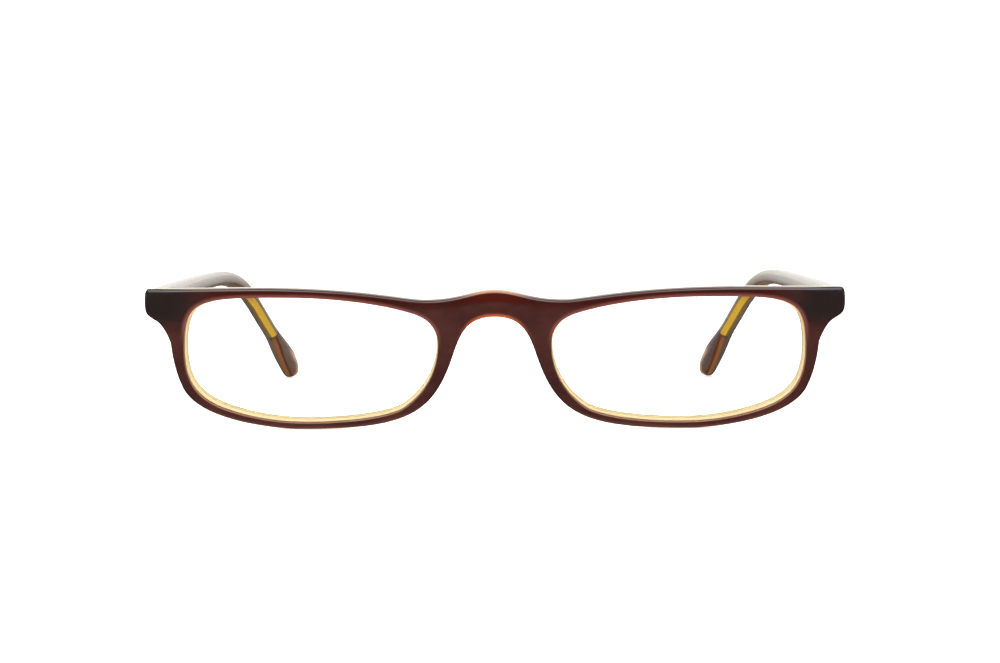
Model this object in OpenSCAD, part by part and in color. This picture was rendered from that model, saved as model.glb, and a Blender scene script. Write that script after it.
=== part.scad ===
// Half-eye reading glasses: a laminated acetate frame with full rims, two clear lenses,
// five-barrel hinges and skull temples on metal core wires.
// +X is the wearer's left, +Y runs back along the open temples and +Z is up.
// The glasses stand open on a table at z = 0, on their rims and temple tips.

/* [Lenses] */
// Width of each lens
lens_w = 50; // [46:0.5:54]
// Height of each lens
lens_h = 25.2; // [22:0.2:30]
// Distance between the two lenses
lens_gap = 21.5; // [19:0.5:24]
// Thickness of each lens
lens_t = 2; // [1.6:0.1:2.4]
// Thickness of the lens edge that sits in the groove
bevel_t = 0.7; // [0.5:0.1:0.9]
// Clearance between the lens edge and its groove
lens_fit = 0.04; // [0.02:0.01:0.08]

/* [Front] */
// Width across the endpieces
frame_w = 137; // [135:0.5:146]
// Thickness of the dark outer layer
outer_t = 2.1; // [1.8:0.1:3]
// Thickness of the honey inner layer
inner_t = 1.5; // [1.3:0.1:2.4]
// How far the outer layer laps over the lens
outer_lap = 0.25; // [0.2:0.05:0.4]
// How far the inner layer laps over the lens
inner_lap = 0.5; // [0.4:0.05:0.7]
// Rim above the lens
rim_top = 1.4; // [1.2:0.1:2.6]
// Rim below the lens
rim_bottom = 1.05; // [0.85:0.05:2.4]
// Rim beside the lens, on the temple side
rim_side = 2.6; // [2:0.1:3.2]
// Rim beside the lens, on the nose side
rim_nose = 1.9; // [1.6:0.1:2.6]
// Height of the bridge's crest above the tops of the lenses
bridge_top = 1.1; // [0.5:0.1:2]
// Height of the nose arch above the lens centre
arch_top = 8.65; // [8:0.05:9.6]
// Height of the endpiece's top above the tops of the lenses
endpiece_top = 0.95; // [0.6:0.05:1.8]
// Height of each endpiece at its outer end
endpiece_h = 5.4; // [5:0.1:6.4]
// Radius that the front is bowed to
wrap_r = 600; // [450:10:900]
// Lean of the front's top away from the face, in degrees
tilt = 6; // [4:0.5:9]
// Length over which the endpiece's face rolls back
roll_l = 5; // [3:0.5:7]
// Depth of that roll at the outer end
roll_d = 1.7; // [1:0.1:1.75]

/* [Temples] */
// Depth from the lens centre line to the middle of the temple tips
temple_reach = 121; // [114:1:128]
// Depth from the lens centre line to the start of the bend
bend_start = 64; // [60:1:70]
// Distance from the centre plane to the middle of each temple at the bend
bend_x = 63.2; // [61:0.1:64.5]
// Distance from the centre plane to the middle of each temple tip
tip_x = 49.9; // [46:0.1:52]
// Temple thickness at the hinge
temple_t = 3.8; // [3.6:0.1:4.4]
// Temple thickness from the bend to the tip
temple_t_end = 3; // [2.7:0.1:3.4]
// Temple height at the hinge
temple_h = 4.8; // [4.6:0.1:5.2]
// Temple height at the bend
waist_h = 3.2; // [2.8:0.1:3.6]
// Temple height at its paddle tip
paddle_h = 7.3; // [5.5:0.1:8]
// Thickness of the temple's dark outer layer, as laminated
temple_outer_t = 1.8; // [1.6:0.1:1.9]
// Gap between the temple's end and the endpiece
butt_gap = 0.12; // [0.08:0.01:0.2]

/* [Core wires] */
// Width of the flat core wire
wire_w = 2; // [1.6:0.1:2.2]
// Thickness of the flat core wire
wire_t = 1.3; // [1:0.05:1.4]
// Clearance around the core wire in its channel
wire_fit = 0.02; // [0.01:0.01:0.04]
// Length of temple past the end of the core wire
wire_stop = 14; // [10:0.5:18]

/* [Hinges] */
// Radius of the hinge barrels
barrel_r = 1.2; // [1.1:0.05:1.3]
// Height of each of the five barrels
barrel_h = 0.8; // [0.7:0.05:0.85]
// Axial gap between two barrels
barrel_gap = 0.05; // [0.03:0.01:0.08]
// Distance from the endpiece's back to the hinge axis
axis_back = 1.5; // [1.4:0.05:1.7]
// Distance from the temple's inner face to the hinge axis
axis_in = 1.5; // [1.45:0.05:1.8]
// Radius of the hinge screw
screw_r = 0.6; // [0.5:0.05:0.65]
// Radial running clearance between screw and barrels
screw_fit = 0.03; // [0.02:0.01:0.06]
// Radius of the screw head
head_r = 1.05; // [0.9:0.05:1.15]
// Height of the screw head
head_h = 0.45; // [0.35:0.05:0.5]
// Thickness of the hinge leaves' plates
plate_t = 0.7; // [0.6:0.05:0.8]
// Length of the front leaf's plate
front_plate_l = 4.4; // [4.2:0.1:4.6]
// Height of the temple leaf's plate
plate_h = 3.4; // [3:0.1:3.6]
// Length of the temple leaf's plate
plate_l = 7; // [6:0.5:7.5]
// Clearance around a plate in its pocket
plate_fit = 0.02; // [0.01:0.01:0.04]

/* [Hidden] */

$fn = 48;
steps = 12; // points on each curve of an outline
far = 200; // longer than the glasses, for through cuts
past = 5; // how far a cutting shape runs past what it cuts

front_t = outer_t + inner_t;
lens_a = lens_w / 2;
lens_b = lens_h / 2;
lens_x = (lens_gap + lens_w) / 2;
half_w = frame_w / 2;

// Depth of the front's surface at distance u from the centre plane, t below the front face
function bow(u, t) = wrap_r - sqrt(pow(wrap_r - t, 2) - u * u);

// ---- curves: a knot is [x, y, heading, handle before, handle after] ----
function along(k, d) = [k[0] + d * cos(k[2]), k[1] + d * sin(k[2])];
function bezier(a, b, c, d, t) =
    pow(1 - t, 3) * a + 3 * pow(1 - t, 2) * t * b + 3 * (1 - t) * t * t * c + pow(t, 3) * d;
function span(p, q) = [
    for (i = [0 : steps - 1])
        bezier([p[0], p[1]], along(p, p[4]), along(q, -q[3]), [q[0], q[1]], i / steps)
];
function open_curve(k) = [for (i = [0 : len(k) - 2]) each span(k[i], k[i + 1])];
function closed_curve(k) = [for (i = [0 : len(k) - 1]) each span(k[i], k[(i + 1) % len(k)])];

// An outline moved outwards by d along its normals; the outline runs anticlockwise
function unit(v) = v / norm(v);
function grown(p, d) = [
    for (i = [0 : len(p) - 1])
        let (t = unit(p[(i + 1) % len(p)] - p[(i + len(p) - 1) % len(p)]))
            p[i] + d * [t[1], -t[0]]
];

// Lens outline about its own centre, temple side at +x
lens_curve = closed_curve([
    [lens_a, 1.8, 90, 5.3, 10.2],
    [3.9, lens_b, 180, 18.3, 7.9],
    [-(lens_a - 4.9), lens_b - 3.1, 198, 6.8, 2],
    [-lens_a, 3.3, 270, 4, 5.6],
    [-(lens_a - 6.6), -(lens_b - 3.2), 324, 4.8, 3.6],
    [1.7, -lens_b, 0, 8.2, 7.3],
    [lens_a - 6.8, -(lens_b - 3), 23.5, 3.3, 5.9],
]);

// Half of the front's outline, from the middle of the arch round to the bridge's crest
crest_v = lens_b + bridge_top;
end_v = lens_b + endpiece_top;
rim_x = lens_x + lens_a;
nose_x = lens_x - lens_a;
half_front = open_curve([
    [0, arch_top, 0, 0, 6.7],
    [nose_x - rim_nose + 0.2, -1.5, 292, 5.3, 10.3],
    [lens_x + 3.3, -lens_b - rim_bottom, 0, 20.6, 1.4],
    [rim_x - 1.95 + rim_side, -5.1, 71, 8.3, 0.3],
    [rim_x + rim_side, 3, 84, 5.6, 0.6],
    [half_w - 2.4, end_v - endpiece_h - 0.75, 27, 1.5, 2.5],
    [half_w, end_v - 2.35, 90, 2.6, 2.6],
    [half_w - 1.1, end_v, 179, 0.3, 7.5],
    [lens_x + 8.8, lens_b + rim_top, 180, 4.5, 19],
    [nose_x + 2.8, crest_v - 1.9, 180, 4, 7],
    [0, crest_v, 180, 4.7, 0],
]);
front_curve = concat(
    half_front,
    [[0, crest_v]],
    [for (i = [len(half_front) - 1 : -1 : 1]) [-half_front[i][0], half_front[i][1]]]
);

// ---- the front's own frame: x across, y back, z up the lens plane ----
// The deepest point of the rims touches the table, and the model is centred front to back
front_z = (lens_b + rim_bottom) * cos(tilt) - bow(lens_x + 3.3, 0) * sin(tilt);
front_min_y = -crest_v * sin(tilt);
tip_r = paddle_h / 2;
drop_slope = 48.9; // the temple's straight drop to its tip, in degrees below level
shift_y = -(front_min_y + temple_reach + tip_r) / 2;
module in_front() {
    translate([0, shift_y, front_z]) rotate([tilt, 0, 0]) children();
}

// A prism through the front with the outline's shape
module through(outline) {
    rotate([90, 0, 0]) translate([0, 0, -far / 2]) linear_extrude(far) polygon(outline);
}

// A bowed slab between depths a and b below the front face
bow_n = 44;
function bow_line(t, from, to) = [
    for (i = [0 : bow_n]) let (u = from + (to - from) * i / bow_n) [u, bow(u, t)]
];
module slab(a, b) {
    edge = half_w + past;
    translate([0, 0, -far / 2]) linear_extrude(far)
        polygon(concat(bow_line(a, -edge, edge), bow_line(b, edge, -edge)));
}

// What the rolled endpiece faces lose, for the end on the +x side
module roll_cut() {
    start = half_w - roll_l;
    n = 10;
    arc = [
        for (i = [0 : n])
            let (k = i / n, u = start + roll_l * sin(90 * k))
                [u, bow(u, 0) + roll_d * (1 - cos(90 * k))]
    ];
    translate([0, 0, -far / 2]) linear_extrude(far)
        polygon(concat(arc, [[half_w + past, arc[n][1]], [half_w + past, -past], [start, -past]]));
}

module both_sides() {
    children();
    mirror([1, 0, 0]) children();
}

module lens_shape(grow) {
    translate([lens_x, 0, 0]) through(grown(lens_curve, grow));
}

module layer(a, b, lap) {
    intersection() {
        difference() {
            through(front_curve);
            both_sides() lens_shape(-lap);
        }
        slab(a, b);
    }
}

module lens_groove() {
    intersection() {
        lens_shape(lens_fit);
        slab(outer_t - bevel_t / 2 - lens_fit, outer_t + bevel_t / 2 + lens_fit);
    }
}

module front_outer_layer() {
    color([0.17, 0.06, 0.05]) in_front() difference() {
        layer(0, outer_t, outer_lap);
        both_sides() lens_groove();
        both_sides() roll_cut();
    }
}

module front_inner_layer() {
    color([0.86, 0.68, 0.36]) difference() {
        in_front() difference() {
            layer(outer_t, front_t, inner_lap);
            both_sides() lens_groove();
        }
        both_sides() on_endpiece() front_plate(plate_fit);
    }
}

// ---- lenses ----
module lens() {
    color([0.85, 0.92, 0.95, 0.35]) in_front() {
        intersection() {
            lens_shape(-inner_lap - lens_fit);
            slab(outer_t - lens_t / 2, outer_t + lens_t / 2);
        }
        intersection() {
            lens_shape(0);
            slab(outer_t - bevel_t / 2, outer_t + bevel_t / 2);
        }
    }
}

// ---- hinges ----
// The axis runs up the lens plane, behind the endpiece and inboard of the temple
temple_out = half_w - 0.3;
inner_face = temple_out - temple_t;
hinge_u = inner_face - axis_in;
hinge_v = end_v - endpiece_h / 2;
hinge_turn = asin(hinge_u / (wrap_r - front_t));
stack_h = 5 * barrel_h + 4 * barrel_gap;
pitch = barrel_h + barrel_gap;

// Frame on the endpiece's back face: x along the face, y back, z up the hinge axis
module on_endpiece() {
    in_front() translate([hinge_u, bow(hinge_u, front_t), hinge_v]) rotate([0, 0, hinge_turn])
        children();
}
module on_axis() {
    on_endpiece() translate([0, axis_back, 0]) children();
}

module barrel(i) {
    translate([0, 0, -stack_h / 2 + i * pitch]) cylinder(r = barrel_r, h = barrel_h);
}
module bore() {
    translate([0, 0, -stack_h]) cylinder(r = screw_r + screw_fit, h = 2 * stack_h);
}

// Plate let into the back of the endpiece, with a foot under it
foot_h = 1.8;
foot_l = 3;
foot_t = 0.4;
foot_in = 1; // from the plate's end to its foot
slot_w = 0.3; // slot in the screw's head
module front_plate(grow) {
    inner_end = barrel_r - front_plate_l;
    translate([inner_end - grow, -plate_t - grow, -stack_h / 2 - grow])
        cube([front_plate_l + 2 * grow, plate_t + 2 * grow, stack_h + 2 * grow]);
    translate([inner_end + foot_in - grow, -plate_t - foot_t - grow, -foot_h / 2 - grow])
        cube([foot_l + 2 * grow, foot_t + plate_t / 2, foot_h + 2 * grow]);
}

module front_hinge_leaf() {
    color([0.72, 0.7, 0.66]) difference() {
        union() {
            on_endpiece() front_plate(0);
            on_axis() for (i = [0, 2, 4]) {
                barrel(i);
                translate([-barrel_r, -axis_back - plate_t / 2, -stack_h / 2 + i * pitch])
                    cube([2 * barrel_r, axis_back + plate_t / 2, barrel_h]);
            }
        }
        on_axis() bore();
    }
}

module hinge_screw() {
    color([0.78, 0.77, 0.74]) on_axis() difference() {
        union() {
            translate([0, 0, -stack_h / 2]) cylinder(r = screw_r, h = stack_h + head_h / 2);
            translate([0, 0, stack_h / 2]) cylinder(r = head_r, h = head_h);
        }
        translate([-head_r - past, -slot_w / 2, stack_h / 2 + head_h / 2])
            cube([2 * (head_r + past), slot_w, head_h]);
    }
}

// ---- temples: sections carried along a line that bends down and inwards ----
temple_z = front_z + hinge_v * cos(tilt) + bow(inner_face, front_t) * sin(tilt);
start_x = temple_out - temple_t / 2;
start_y = bow(inner_face, front_t) * cos(tilt) - hinge_v * sin(tilt);
toe = (start_x - bend_x) / (bend_start - start_y);
shaft_rise = 0.9; // the bend starts this far above the hinge
drop_l = 20;
drop_in = 0.525; // the drop runs inwards this much for each length back
tip_sag = 0.03; // how far the tip's lowest point hangs below its radius
// Line of the temple's middle: straight shaft, bend, straight drop, in the open glasses' frame
shaft_end = [bend_x, bend_start, temple_z + shaft_rise];
drop_end = [tip_x, temple_reach, tip_r + tip_sag];
drop_dir = unit([-drop_in, 1, -tan(drop_slope)]);
drop_start = drop_end - drop_l * drop_dir;
hinge_dir = unit([-toe, 1, 0.02]);
shaft_dir = unit([-toe, 1, -0.01]);
shaft_start = [start_x, start_y, temple_z];

function line3(a, da, la, b, db, lb, t) = bezier(a, a + la * da, b - lb * db, b, t);
function slope3(a, da, la, b, db, lb, t) =
    unit(3 * pow(1 - t, 2) * la * da + 6 * (1 - t) * t * (b - lb * db - a - la * da)
         + 3 * t * t * lb * db);

// Handles of the bend's curve, at its start and its end
bend_in = 25;
bend_out = 10.8;
nose_l = drop_l + 0.99 * tip_r; // stops short of the very tip, so that the last ring keeps an area
wire_end = 2 + (drop_l + tip_r - wire_stop) / nose_l;
shaft_l = norm(shaft_end - shaft_start);
bend_l = norm(drop_start - shaft_end) * 1.03; // the bend is a little longer than its chord
temple_l = shaft_l + bend_l + drop_l + tip_r;
widen_at = shaft_l + bend_l + 7.5; // where the temple starts to widen into its paddle
paddle_full = 1; // the paddle has its full height this far before its tip

// Point, direction and distance along the temple at t: 0 to 1 shaft, to 2 bend, to 3 drop
function station(t) =
    t < 1 ? [line3(shaft_start, hinge_dir, shaft_l / 3, shaft_end, shaft_dir, shaft_l / 3, t),
             slope3(shaft_start, hinge_dir, shaft_l / 3, shaft_end, shaft_dir, shaft_l / 3, t),
             shaft_l * t]
    : t < 2 ? [line3(shaft_end, shaft_dir, bend_in, drop_start, drop_dir, bend_out, t - 1),
               slope3(shaft_end, shaft_dir, bend_in, drop_start, drop_dir, bend_out, t - 1),
               shaft_l + bend_l * (t - 1)]
    : [drop_start + nose_l * (t - 2) * drop_dir, drop_dir, shaft_l + bend_l + nose_l * (t - 2)];

shaft_n = 12;
bend_n = 14;
drop_n = 6;
tip_n = 12;
wire_ts = concat(
    [for (i = [0 : shaft_n - 1]) i / shaft_n],
    [for (i = [0 : bend_n - 1]) 1 + i / bend_n],
    [for (i = [0 : drop_n]) 2 + (wire_end - 2) * i / drop_n]
);
tip_ts = [for (i = [0 : tip_n]) let (k = i / tip_n) wire_end + 0.001 + (2.999 - wire_end) * sin(90 * k)];

// Height and thickness of the temple at distance s from its hinge end
function ease(t) = let (k = min(max(t, 0), 1)) k * k * (3 - 2 * k);
function mix(a, b, t) = a + (b - a) * t;
function nose(s) = let (k = max(0, (s - (temple_l - tip_r)) / tip_r)) sqrt(max(0, 1 - k * k));
function height_at(s) = nose(s) * (
    s < shaft_l ? mix(temple_h, waist_h, ease(s / shaft_l))
    : mix(waist_h, paddle_h, ease((s - widen_at) / (temple_l - paddle_full - widen_at)))
);
tip_round = 1; // the tip's faces round in over this length
function rounding(s) = let (k = max(0, (s - (temple_l - tip_round)) / tip_round)) sqrt(max(0, 1 - k * k));
function thick_at(s) = mix(temple_t, temple_t_end, ease(s / shaft_l)) * mix(0.5, 1, rounding(s));

// Half sections, [inwards, upwards]: corner is a rounded corner from angle a to a + 90
edge_r = 1.1;
corner_n = 4;
function corner(x, y, r, a) = [
    for (i = [0 : corner_n]) let (b = a + 90 * i / corner_n) [x + r * cos(b), y + r * sin(b)]
];
function layer_line(t) = -t / 2 + temple_outer_t * t / temple_t;
function groove_half(h) = min(wire_w / 2 + wire_fit, h * 0.42);
function outer_section(h, t, depth) =
    let (r = min(edge_r, h * 0.45, t * 0.3), m = layer_line(t), g = groove_half(h)) concat(
    [[m, h / 2]],
    corner(-t / 2 + r, h / 2 - r, r, 90),
    corner(-t / 2 + r, -h / 2 + r, r, 180),
    [[m, -h / 2], [m, -g], [m - depth, -g], [m - depth, g], [m, g]]
);
function inner_section(h, t, depth) =
    let (r = min(edge_r, h * 0.45, t * 0.3), m = layer_line(t), g = groove_half(h)) concat(
    [[m, -h / 2]],
    corner(t / 2 - r, -h / 2 + r, r, 270),
    corner(t / 2 - r, h / 2 - r, r, 0),
    [[m, h / 2], [m, g], [m + depth, g], [m + depth, -g], [m, -g]]
);
function wire_section(t) = let (m = layer_line(t), d = wire_t / 2, w = wire_w / 2) [
    [m - d, w], [m - d, -w], [m + d, -w], [m + d, w]
];

// A section placed square to the temple's line
function placed(section, st) = let (up = unit([0, -st[1][2], st[1][1]]), in = cross(up, st[1])) [
    for (q = section) st[0] + q[0] * in + q[1] * up
];
// The hinge end is mitred to lie along the endpiece's back
function mitred(ring) = [
    for (p = ring) [p[0], (bow(p[0], front_t) + butt_gap - (p[2] - front_z) * sin(tilt)) / cos(tilt), p[2]]
];

module sweep(rings) {
    n = len(rings[0]);
    last = (len(rings) - 1) * n;
    faces = concat(
        [[for (j = [0 : n - 1]) j]],
        [for (i = [0 : len(rings) - 2], j = [0 : n - 1]) let (a = i * n + j, b = i * n + (j + 1) % n)
            each [[a, a + n, b + n], [a, b + n, b]]],
        [[for (j = [n - 1 : -1 : 0]) last + j]]
    );
    translate([0, shift_y, 0]) polyhedron([for (r = rings) each r], faces, convexity = 6);
}

// Each layer holds half of the wire's channel; past the wire's end only a fine scar is left
channel = wire_t / 2 + wire_fit;
scar = 0.02;
module cut_to_endpiece(rings) {
    sweep(concat([mitred(rings[0])], [for (i = [1 : len(rings) - 1]) rings[i]]));
}

module temple_outer_layer() {
    color([0.2, 0.08, 0.06]) cut_to_endpiece(concat(
        [for (t = wire_ts) let (st = station(t))
            placed(outer_section(height_at(st[2]), thick_at(st[2]), channel), st)],
        [for (t = tip_ts) let (st = station(t))
            placed(outer_section(height_at(st[2]), thick_at(st[2]), scar), st)]
    ));
}

module temple_inner_layer() {
    color([0.8, 0.6, 0.3]) difference() {
        cut_to_endpiece(concat(
            [for (t = wire_ts) let (st = station(t))
                placed(inner_section(height_at(st[2]), thick_at(st[2]), channel), st)],
            [for (t = tip_ts) let (st = station(t))
                placed(inner_section(height_at(st[2]), thick_at(st[2]), scar), st)]
        ));
        on_temple() temple_plate(plate_fit);
    }
}

wire_first = 2; // the station where the wire starts, past the hinge's foot
module core_wire() {
    color([0.85, 0.7, 0.35]) sweep([
        for (i = [wire_first : len(wire_ts) - 1])
            let (st = station(wire_ts[i])) placed(wire_section(thick_at(st[2])), st)
    ]);
}

// ---- temple side of the hinge ----
// Frame on the temple's inner face at its hinge end: x into the temple, y back along it
module on_temple() {
    translate([inner_face, shift_y + start_y, temple_z]) rotate([0, 0, atan(toe)]) children();
}
plate_set = 0.35; // from the temple's hinge end to its plate
web_l = 1.7 * barrel_r; // the webs stop short of the front leaf's plate
temple_foot = temple_t - temple_outer_t - channel - plate_fit - plate_t;
module temple_plate(grow) {
    translate([-grow, plate_set - grow, -plate_h / 2 - grow])
        cube([plate_t + 2 * grow, plate_l + 2 * grow, plate_h + 2 * grow]);
    translate([plate_t / 2, plate_set + plate_l - foot_l - foot_in - grow, -foot_h / 2 - grow])
        cube([plate_t / 2 + temple_foot + grow, foot_l + 2 * grow, foot_h + 2 * grow]);
}
module temple_hinge_leaf() {
    color([0.72, 0.7, 0.66]) difference() {
        union() {
            on_temple() temple_plate(0);
            on_axis() for (i = [1, 3]) {
                barrel(i);
                translate([0, barrel_r - web_l, -stack_h / 2 + i * pitch])
                    cube([axis_in + plate_t / 2, web_l, barrel_h]);
            }
        }
        on_axis() bore();
    }
}

module on_right() {
    mirror([1, 0, 0]) children();
}

front_outer_layer();
front_inner_layer();
on_right() lens();  // lens_right
lens();  // lens_left
on_right() front_hinge_leaf();  // front_hinge_leaf_right
front_hinge_leaf();  // front_hinge_leaf_left
on_right() temple_hinge_leaf();  // temple_hinge_leaf_right
temple_hinge_leaf();  // temple_hinge_leaf_left
on_right() hinge_screw();  // hinge_screw_right
hinge_screw();  // hinge_screw_left
on_right() temple_outer_layer();  // temple_outer_layer_right
temple_outer_layer();  // temple_outer_layer_left
on_right() temple_inner_layer();  // temple_inner_layer_right
temple_inner_layer();  // temple_inner_layer_left
on_right() core_wire();  // core_wire_right
core_wire();  // core_wire_left
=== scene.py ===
"""Narrow full-rim reading glasses in laminated acetate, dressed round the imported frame.

Sizes are in millimetres and degrees until a mesh is made, and in metres from there on."""
import math

import bmesh
import bpy
import numpy as np
from mathutils import Euler, Matrix, Vector
from mathutils.geometry import delaunay_2d_cdt


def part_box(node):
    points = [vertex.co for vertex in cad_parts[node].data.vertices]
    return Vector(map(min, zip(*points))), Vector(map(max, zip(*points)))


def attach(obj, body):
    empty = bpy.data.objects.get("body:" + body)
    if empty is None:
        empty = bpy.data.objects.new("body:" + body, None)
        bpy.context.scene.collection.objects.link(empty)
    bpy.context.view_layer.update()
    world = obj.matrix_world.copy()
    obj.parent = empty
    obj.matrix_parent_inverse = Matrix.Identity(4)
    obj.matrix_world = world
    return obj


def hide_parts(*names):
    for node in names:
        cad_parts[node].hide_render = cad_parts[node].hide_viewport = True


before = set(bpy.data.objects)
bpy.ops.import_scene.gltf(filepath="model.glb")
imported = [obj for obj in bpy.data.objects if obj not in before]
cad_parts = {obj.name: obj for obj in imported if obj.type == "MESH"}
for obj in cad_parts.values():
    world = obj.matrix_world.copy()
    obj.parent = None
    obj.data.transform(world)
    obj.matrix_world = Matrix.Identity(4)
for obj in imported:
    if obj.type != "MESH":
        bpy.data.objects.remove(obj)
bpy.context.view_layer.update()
MM = 0.001
TINY = 1e-9
SIDES = {"left": 1, "right": -1}

# ---- lenses ----
LENS_W, LENS_H, LENS_GAP, LENS_T = 50.0, 25.2, 21.5, 2.0
BEVEL_T = 0.7          # height of the lens's V edge
FIT = 0.04             # lens in its groove
LENS_DOME = 0.8        # how far a lens stands forward in its middle
LENS_EASE = 0.03       # eased corners of a lens's edge
LENS_ROWS = 14         # rings of points from a lens's middle to its rim

# ---- front ----
FRAME_W = 137.0
OUTER_T, INNER_T = 2.1, 1.5          # the dark layer, and the honey layer behind it
OUTER_LAP, INNER_LAP = 0.25, 0.5     # how far each layer laps over the lens
RIM_TOP, RIM_BOTTOM, RIM_SIDE, RIM_NOSE = 1.4, 1.05, 2.6, 1.9
RIM_LOW = 3.3          # the rim is lowest this far outside the lens's middle
BRIDGE_TOP, ARCH_TOP, END_TOP, END_H = 1.1, 8.65, 0.95, 5.4
WRAP_R, TILT = 600.0, 6.0
ROLL_L, ROLL_D = 5.0, 1.7            # the endpiece's face rolls back: over how far, how deep
EDGE_R = 0.6           # tumbled outer edges of the front
EDGE_MOST = 0.6        # share of a rolled endpiece's thickness that its edge takes at most
HOLE_R, BACK_HOLE_R = 0.22, 0.2      # tumbled edges round the lenses, in front and behind
END_EXTRA_R = 1.8      # the tops of the endpieces are this much rounder
END_ROUND_AT, END_ROUND_L = 59.0, 7.0    # where that begins, and over how far it grows
OPEN_SIDE = 0.2        # the dark layer opens this much wider on the temple side
SHELF_GAP, SHELF_IN = 0.03, 0.02     # room behind the lens, and the least step of its shelf
SHELF_BELOW, SHELF_SIDE = 0.5, 0.24  # the shelf is this much wider below and beside
LIP_ROWS = (3, 5)      # rows of the honey layer's hole that are the shelf
STEP = 0.35            # spacing of points round an outline
SPAN_N = 40            # points on each span between two knots
EDGE_N = 5             # steps round a tumbled edge
GRID, GRID_CLEAR = 0.7, 0.45         # points across the front's faces, clear of their edges

# ---- temples ----
TEMPLE_T, TEMPLE_T_END, TEMPLE_H, WAIST_H, PADDLE_H = 3.8, 3.0, 4.8, 3.2, 7.3
TEMPLE_OUTER_T = 1.8   # the temple's outer layer
TEMPLE_INSET = 0.3     # the temple's outer face, in from the end of the front
TEMPLE_REACH, BEND_START, BEND_X, TIP_X = 121.0, 64.0, 63.2, 49.9
BUTT_GAP = 0.12        # between the temple's end and the back of the front
WIRE_W, WIRE_T, WIRE_FIT, WIRE_STOP = 2.0, 1.3, 0.02, 14.0
WIRE_EDGE_R = 0.25
WIRE_FIRST = 5         # the wire starts this many stations behind the temple's end
SCAR = 0.02            # depth of the closed channel past the wire
DROP_SLOPE, DROP_L, DROP_IN, TIP_SAG = 48.9, 20.0, 0.525, 0.03
SHAFT_RISE, BEND_IN, BEND_OUT = 0.9, 25.0, 10.8
SLOPE_AT_HINGE, SLOPE_AT_BEND = 0.02, -0.01
BEND_ARC = 1.03        # length of the bend against its chord
WIDEN_AFTER, PADDLE_FULL, TIP_ROUND = 7.5, 1.0, 1.0
TIP_SHARE = 0.985      # the paddle's end closes this far along its radius
TIP_BLUNT = 0.9995     # and stops just short of a point
TIP_THIN = 0.5         # thickness left at the very end
TEMPLE_EDGE_R = 1.1
EDGE_SHARE, TIP_EDGE_SHARE = 0.3, 0.46   # of the thickness, taken by the rounded edges
TIP_EASE_AT, TIP_EASE_L = 9, 7       # the tip's rounder edges begin here and grow over this
CORNER_MOST, CHANNEL_MOST = 0.45, 0.42   # shares of the height that they take at most
SHAFT_N, BEND_N, DROP_N, TIP_N = 30, 44, 12, 44
STATION_GAP = 0.001

# ---- hinges ----
BARREL_R, BARREL_H, BARREL_GAP = 1.2, 0.8, 0.05
BARREL_EASE = 0.06
BARREL_N = 72          # points round a barrel
WEB_SHARE = 1.7        # length of a barrel's web against the barrel's radius
AXIS_BACK, AXIS_IN = 1.5, 1.5
SCREW_R, SCREW_FIT, HEAD_R, HEAD_H, SLOT_W = 0.6, 0.03, 1.05, 0.45, 0.3
SCREW_N = 64           # points round a screw
PLATE_T, PLATE_H, PLATE_L, PLATE_SET, PLATE_FIT = 0.7, 3.4, 7.0, 0.35, 0.02
FRONT_PLATE_L = 4.4
FOOT_L, FOOT_H, FOOT_T, FOOT_IN = 3.0, 1.8, 0.4, 1.0
PLATE_EDGE_R = 0.12    # eased edges of the hinge's plates
PAST = 0.1             # a cutter stands this far out of what it cuts

FRONT_T = OUTER_T + INNER_T
LENS_A, LENS_B = LENS_W / 2, LENS_H / 2
LENS_X = (LENS_GAP + LENS_W) / 2
HALF_W = FRAME_W / 2
CREST_V, END_V = LENS_B + BRIDGE_TOP, LENS_B + END_TOP
RIM_X, NOSE_X = LENS_X + LENS_A, LENS_X - LENS_A
COS_T, SIN_T = math.cos(math.radians(TILT)), math.sin(math.radians(TILT))


def bow(u, t):
    """Depth of the front's bowed surface at distance u from the middle, t under its face."""
    return WRAP_R - np.sqrt((WRAP_R - t) ** 2 - np.asarray(u, float) ** 2)


FRONT_Z = (LENS_B + RIM_BOTTOM) * COS_T - float(bow(LENS_X + RIM_LOW, 0)) * SIN_T
SHIFT_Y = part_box("front_outer_layer")[0].y / MM + CREST_V * SIN_T


# ---- outlines: a knot is (x, y, heading, handle before, handle after) ----
def along(knot, d):
    """The point at distance d from a knot along its heading."""
    a = math.radians(knot[2])
    return np.array([knot[0] + d * math.cos(a), knot[1] + d * math.sin(a)])


def span(p, q):
    """Points of the curve from one knot up to the next."""
    t = (np.arange(SPAN_N) / SPAN_N)[:, None]
    a, b, c, d = np.array(p[:2]), along(p, p[4]), along(q, -q[3]), np.array(q[:2])
    return (1 - t) ** 3 * a + 3 * (1 - t) ** 2 * t * b + 3 * (1 - t) * t * t * c + t**3 * d


def evened(loop):
    """A closed outline with its points spaced evenly."""
    p = np.vstack([loop, loop[:1]])
    s = np.concatenate([[0], np.cumsum(np.linalg.norm(np.diff(p, axis=0), axis=1))])
    q = np.linspace(0, s[-1], int(round(s[-1] / STEP)), endpoint=False)
    return np.stack([np.interp(q, s, p[:, i]) for i in (0, 1)], 1)


def outward(loop, soften=0):
    """Unit normals of an anticlockwise outline, softened so that tight corners stay open."""
    t = np.roll(loop, -1, 0) - np.roll(loop, 1, 0)
    n = np.stack([t[:, 1], -t[:, 0]], 1)
    n /= np.linalg.norm(n, axis=1)[:, None]
    for _ in range(soften):
        n = (np.roll(n, 1, 0) + 2 * n + np.roll(n, -1, 0)) / 4
    return n


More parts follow.
